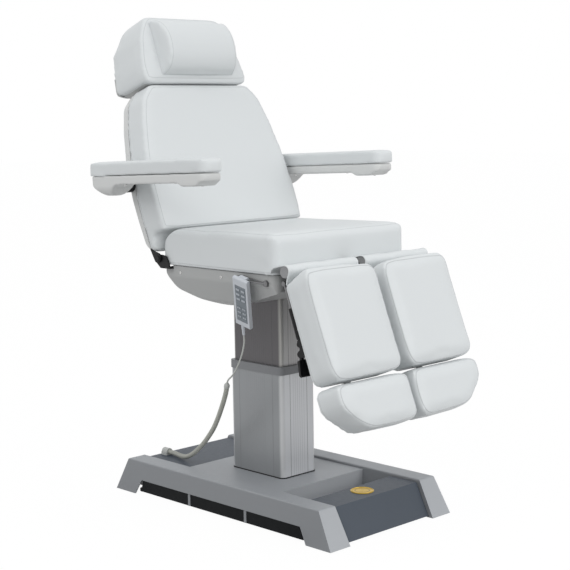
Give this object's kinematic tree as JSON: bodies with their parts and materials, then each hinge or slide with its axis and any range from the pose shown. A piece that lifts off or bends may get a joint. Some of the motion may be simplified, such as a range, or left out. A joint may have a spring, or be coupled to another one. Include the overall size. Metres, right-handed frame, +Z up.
{
  "type": "podiatry chair",
  "caption": "Lift-column podiatry chair with divided leg rests, sliding foot rests, folding arms, reclining back, tilting seat, toe pedals and a wired handset.",
  "frame": {"origin": "on the floor, under the middle of the chair's overall box without its cord", "axes": "+Z up, the sitter faces -Y, +X is the sitter's left"},
  "size_m": [0.811, 1.1264, 1.5294],
  "materials": {
    "upholstery": "soft satin vinyl over foam",
    "base_plastic": "satin light grey",
    "black_metal": "satin black",
    "slate_plastic": "fine-grained slate grey",
    "black_rubber": "matt",
    "gold_trim": "gold, glossy",
    "column_metal": "ribbed silver grey",
    "inner_column_metal": "ribbed darker grey",
    "collar_plastic": "pale blue grey",
    "black_plastic": "matt black",
    "grey_plastic": "matt grey",
    "bright_steel": "polished",
    "pedal_plastic": "near-black, fine grain",
    "sleeve_plastic": "ribbed grey sleeve",
    "cord_plastic": "smooth pale grey",
    "shell_plastic": "satin off-white",
    "clip_plastic": "grey blue",
    "dark_plastic": "dark grey",
    "handset_plastic": "light grey",
    "keypad_rubber": "mid grey"
  },
  "bodies": {
    "base": {"base_shell": "base_plastic", "base_frame": "black_metal", "front_cover": "slate_plastic", "rear_cover": "slate_plastic", "levelling_feet": "black_rubber", "badge_disc": "gold_trim", "column_outer": "column_metal", "column_collar": "collar_plastic", "lift_motor": "black_metal", "mains_inlet": "black_plastic", "cable_gland": "grey_plastic", "pedal_shafts": "bright_steel", "cord_sleeve": "sleeve_plastic", "handset_cord": "cord_plastic"},
    "carriage": {"column_inner": "inner_column_metal", "column_top_plate": "black_metal", "lift_spindle": "bright_steel"},
    "seat": {"seat_frame": "black_metal", "tilt_motor": "black_plastic", "seat_shell": "shell_plastic", "seat_cushion": "upholstery", "handset_hook": "bright_steel", "back_motor": "black_plastic"},
    "back_rod": {"back_motor_rod": "bright_steel"},
    "back": {"back_frame": "black_metal", "back_shell": "shell_plastic", "back_cushion": "upholstery", "side_clip": "clip_plastic"},
    "headrest": {"headrest_posts": "bright_steel", "headrest_shell": "dark_plastic", "headrest_cushion": "upholstery", "head_pillow": "upholstery"},
    "handset": {"handset_case": "handset_plastic", "handset_keypad": "keypad_rubber"},
    "pedal_right_front": {"pedal_right_front": "pedal_plastic"},
    "pedal_right_middle": {"pedal_right_middle": "pedal_plastic"},
    "pedal_right_rear": {"pedal_right_rear": "pedal_plastic"},
    "pedal_left_front": {"pedal_left_front": "pedal_plastic"},
    "pedal_left_middle": {"pedal_left_middle": "pedal_plastic"},
    "pedal_left_rear": {"pedal_left_rear": "pedal_plastic"},
    "arm_left": {"arm_pad_left": "upholstery", "arm_housing_left": "shell_plastic"},
    "leg_left": {"leg_frame_left": "black_metal", "leg_flap_left": "upholstery", "calf_pad_left": "upholstery", "gas_body_left": "black_metal"},
    "foot_left": {"foot_slide_left": "bright_steel", "foot_pad_left": "upholstery"},
    "lever_left": {"leg_lever_left": "black_plastic"},
    "gas_rod_left": {"gas_rod_left": "bright_steel"},
    "arm_right": {"arm_pad_right": "upholstery", "arm_housing_right": "shell_plastic"},
    "leg_right": {"leg_frame_right": "black_metal", "leg_flap_right": "upholstery", "calf_pad_right": "upholstery", "gas_body_right": "black_metal"},
    "foot_right": {"foot_slide_right": "bright_steel", "foot_pad_right": "upholstery"},
    "lever_right": {"leg_lever_right": "black_plastic"},
    "gas_rod_right": {"gas_rod_right": "bright_steel"}
  },
  "joints": [
    {"name": "lift", "type": "slide", "parent": "base", "child": "carriage", "axis": [0, 0, 1], "range_m": [-0.185, 0.065], "deforming": ["cord_sleeve", "handset_cord"]},
    {"name": "seat_tilt", "type": "hinge", "parent": "carriage", "child": "seat", "pos_m": [0, 0.05, 0.718], "axis": [1, 0, 0], "range_deg": [-12, 0]},
    {"name": "back_recline", "type": "hinge", "parent": "seat", "child": "back", "pos_m": [0, 0.246, 0.782], "axis": [1, 0, 0], "range_deg": [-68, 0]},
    {"name": "back_rod_slide", "type": "slide", "parent": "seat", "child": "back_rod", "axis": [0, 0.9992, 0.0391], "range_m": [-0.069, 0]},
    {"name": "headrest_slide", "type": "slide", "parent": "back", "child": "headrest", "axis": [0, 0.342, 0.9397], "range_m": [0, 0.08]},
    {"name": "handset_swing", "type": "hinge", "parent": "seat", "child": "handset", "pos_m": [-0.2855, -0.142, 0.747], "axis": [-0.1, 0.9563, 0.2747], "range_deg": [-8, 25]},
    {"name": "arm_left_fold", "type": "hinge", "parent": "back", "child": "arm_left", "pos_m": [0.35, 0.35, 1], "axis": [1, 0, 0], "range_deg": [-110, 40]},
    {"name": "leg_left_lift", "type": "hinge", "parent": "seat", "child": "leg_left", "pos_m": [0.15, -0.3, 0.772], "axis": [1, 0, 0], "range_deg": [-69, 0]},
    {"name": "foot_left_slide", "type": "slide", "parent": "leg_left", "child": "foot_left", "axis": [0, -0.3584, -0.9336], "range_m": [0, 0.12]},
    {"name": "lever_left_press", "type": "hinge", "parent": "leg_left", "child": "lever_left", "pos_m": [0.254, -0.33568, 0.5479], "axis": [1, 0, 0], "range_deg": [-18, 0], "stiffness_Nm_per_rad": 0.6, "springref_deg": 8.59},
    {"name": "gas_left_slide", "type": "slide", "parent": "leg_left", "child": "gas_rod_left", "axis": [0, 0.3477, 0.9376], "range_m": [0, 0.047]},
    {"name": "pedal_left_front_press", "type": "hinge", "parent": "base", "child": "pedal_left_front", "pos_m": [0.236, -0.2167, 0.04], "axis": [0, 1, 0], "range_deg": [0, 6], "stiffness_Nm_per_rad": 12, "springref_deg": -6.88},
    {"name": "pedal_left_middle_press", "type": "hinge", "parent": "base", "child": "pedal_left_middle", "pos_m": [0.236, 0.04, 0.04], "axis": [0, 1, 0], "range_deg": [0, 6], "stiffness_Nm_per_rad": 12, "springref_deg": -6.88},
    {"name": "pedal_left_rear_press", "type": "hinge", "parent": "base", "child": "pedal_left_rear", "pos_m": [0.236, 0.2967, 0.04], "axis": [0, 1, 0], "range_deg": [0, 6], "stiffness_Nm_per_rad": 12, "springref_deg": -6.88},
    {"name": "arm_right_fold", "type": "hinge", "parent": "back", "child": "arm_right", "pos_m": [-0.35, 0.35, 1], "axis": [1, 0, 0], "range_deg": [-110, 40]},
    {"name": "leg_right_lift", "type": "hinge", "parent": "seat", "child": "leg_right", "pos_m": [-0.15, -0.3, 0.772], "axis": [1, 0, 0], "range_deg": [-69, 0]},
    {"name": "foot_right_slide", "type": "slide", "parent": "leg_right", "child": "foot_right", "axis": [0, -0.3584, -0.9336], "range_m": [0, 0.12]},
    {"name": "lever_right_press", "type": "hinge", "parent": "leg_right", "child": "lever_right", "pos_m": [-0.254, -0.33568, 0.5479], "axis": [1, 0, 0], "range_deg": [-18, 0], "stiffness_Nm_per_rad": 0.6, "springref_deg": 8.59},
    {"name": "gas_right_slide", "type": "slide", "parent": "leg_right", "child": "gas_rod_right", "axis": [0, 0.3477, 0.9376], "range_m": [0, 0.047]},
    {"name": "pedal_right_front_press", "type": "hinge", "parent": "base", "child": "pedal_right_front", "pos_m": [-0.236, -0.2167, 0.04], "axis": [0, 1, 0], "range_deg": [-6, 0], "stiffness_Nm_per_rad": 12, "springref_deg": 6.88},
    {"name": "pedal_right_middle_press", "type": "hinge", "parent": "base", "child": "pedal_right_middle", "pos_m": [-0.236, 0.04, 0.04], "axis": [0, 1, 0], "range_deg": [-6, 0], "stiffness_Nm_per_rad": 12, "springref_deg": 6.88},
    {"name": "pedal_right_rear_press", "type": "hinge", "parent": "base", "child": "pedal_right_rear", "pos_m": [-0.236, 0.2967, 0.04], "axis": [0, 1, 0], "range_deg": [-6, 0], "stiffness_Nm_per_rad": 12, "springref_deg": 6.88}
  ],
  "couplings": [
    {"joint": "back_rod_slide", "follows": "back_recline", "m_per_rad": 0.05669},
    {"joint": "gas_left_slide", "follows": "leg_left_lift", "m_per_rad": -0.03718},
    {"joint": "gas_right_slide", "follows": "leg_right_lift", "m_per_rad": -0.03718}
  ]
}
